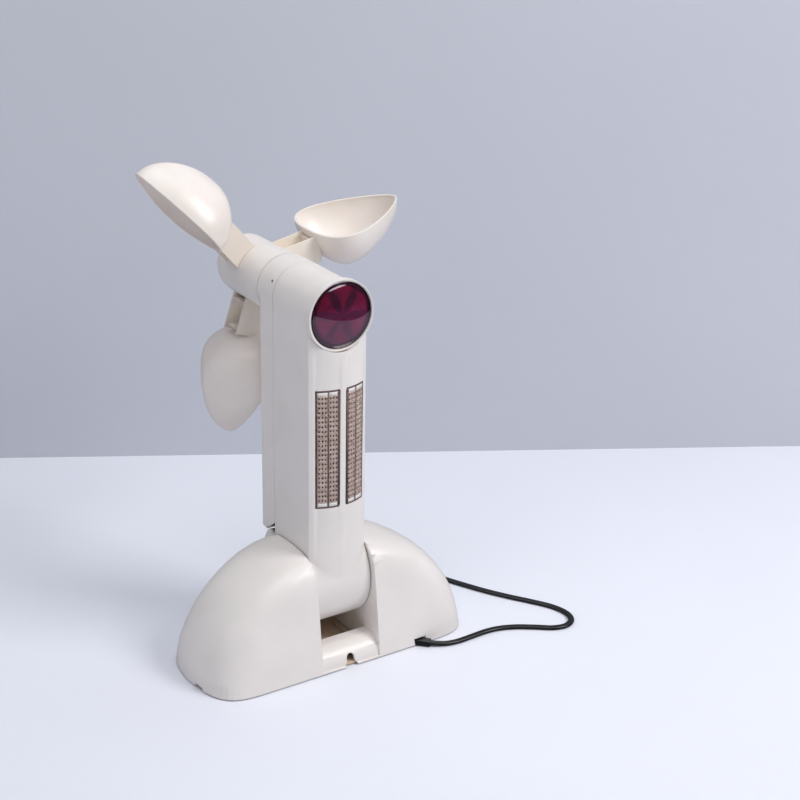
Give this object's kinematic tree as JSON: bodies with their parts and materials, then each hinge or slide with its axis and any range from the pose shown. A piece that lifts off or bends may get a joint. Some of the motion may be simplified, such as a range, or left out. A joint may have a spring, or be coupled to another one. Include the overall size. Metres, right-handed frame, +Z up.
{
  "type": "boot dryer",
  "caption": "Warm-air column that tilts between the lobes of its base, with a lamp lens and grilles in front and a spinning rotor of cups behind its head",
  "frame": {"origin": "on the floor, in the middle of the base's length, under the tilt axis", "axes": "X runs along the base and the tilt axis, -Y is the front with the lens and grilles, +Z is up"},
  "size_m": [0.377, 0.2735, 0.4576],
  "materials": {
    "housing": "off-white moulded plastic with a fine matt grain",
    "cup_plastic": "cream moulded plastic, slightly translucent",
    "base_cover": "off-white moulded plastic",
    "grille_bronze": "bronze-brown lattice",
    "lens_purple": "dark wine-purple translucent gloss",
    "reflector": "bright",
    "bulb_glass": "clear",
    "black_plastic": "black moulded plastic",
    "cord_black": "black flexible sheath",
    "rubber_foot": "dark grey rubber",
    "steel": "bright steel",
    "brass": "sintered bronze",
    "mica": "mica card",
    "nichrome": "drawn wire",
    "cast_weight": "bare casting",
    "white_plastic": "white moulded plastic"
  },
  "bodies": {
    "base": {"base_shell": "housing", "base_plate": "base_cover", "ballast_left": "cast_weight", "ballast_right": "cast_weight", "foot_1": "rubber_foot", "foot_2": "rubber_foot", "foot_3": "rubber_foot", "foot_4": "rubber_foot", "foot_5": "rubber_foot", "base_screw_1": "steel", "base_screw_2": "steel", "base_screw_3": "steel", "base_screw_4": "steel", "pivot_pin_left": "steel", "pivot_pin_right": "steel", "tilt_washer_left": "black_plastic", "tilt_washer_right": "black_plastic", "terminal_block": "white_plastic", "strain_relief": "cord_black", "cord": "cord_black", "cord_coil": "cord_black", "cord_tail": "cord_black", "plug_body": "black_plastic", "plug_blades": "steel"},
    "column": {"column_front": "housing", "column_rear": "housing", "grille_left": "grille_bronze", "grille_right": "grille_bronze", "lens_bezel": "housing", "lens": "lens_purple", "lamp_reflector": "reflector", "lamp_bulb": "bulb_glass", "lamp_socket": "black_plastic", "heater_cards": "mica", "heater_coil": "nichrome", "fan_bracket": "white_plastic", "fan_motor": "steel", "gear_motor": "steel", "shaft_bush": "brass", "cover_screw_top": "steel", "cover_screw_low": "steel"},
    "rotor": {"rotor_drum": "housing", "rotor_shaft": "steel", "drum_nut": "steel", "arm_1": "cup_plastic", "arm_2": "cup_plastic", "arm_3": "cup_plastic", "cup_1": "cup_plastic", "cup_2": "cup_plastic", "cup_3": "cup_plastic"},
    "fan": {"fan_wheel": "white_plastic"}
  },
  "joints": [
    {"name": "column_tilt", "type": "hinge", "parent": "base", "child": "column", "pos_m": [0, 0, 0.076], "axis": [1, 0, 0], "range_deg": [-20, 35]},
    {"name": "rotor_spin", "type": "hinge", "parent": "column", "child": "rotor", "pos_m": [0, 0.1, 0.342], "axis": [0, 1, 0], "continuous": true},
    {"name": "fan_spin", "type": "hinge", "parent": "column", "child": "fan", "pos_m": [0, 0, 0.145], "axis": [0, 0, 1], "continuous": true}
  ]
}
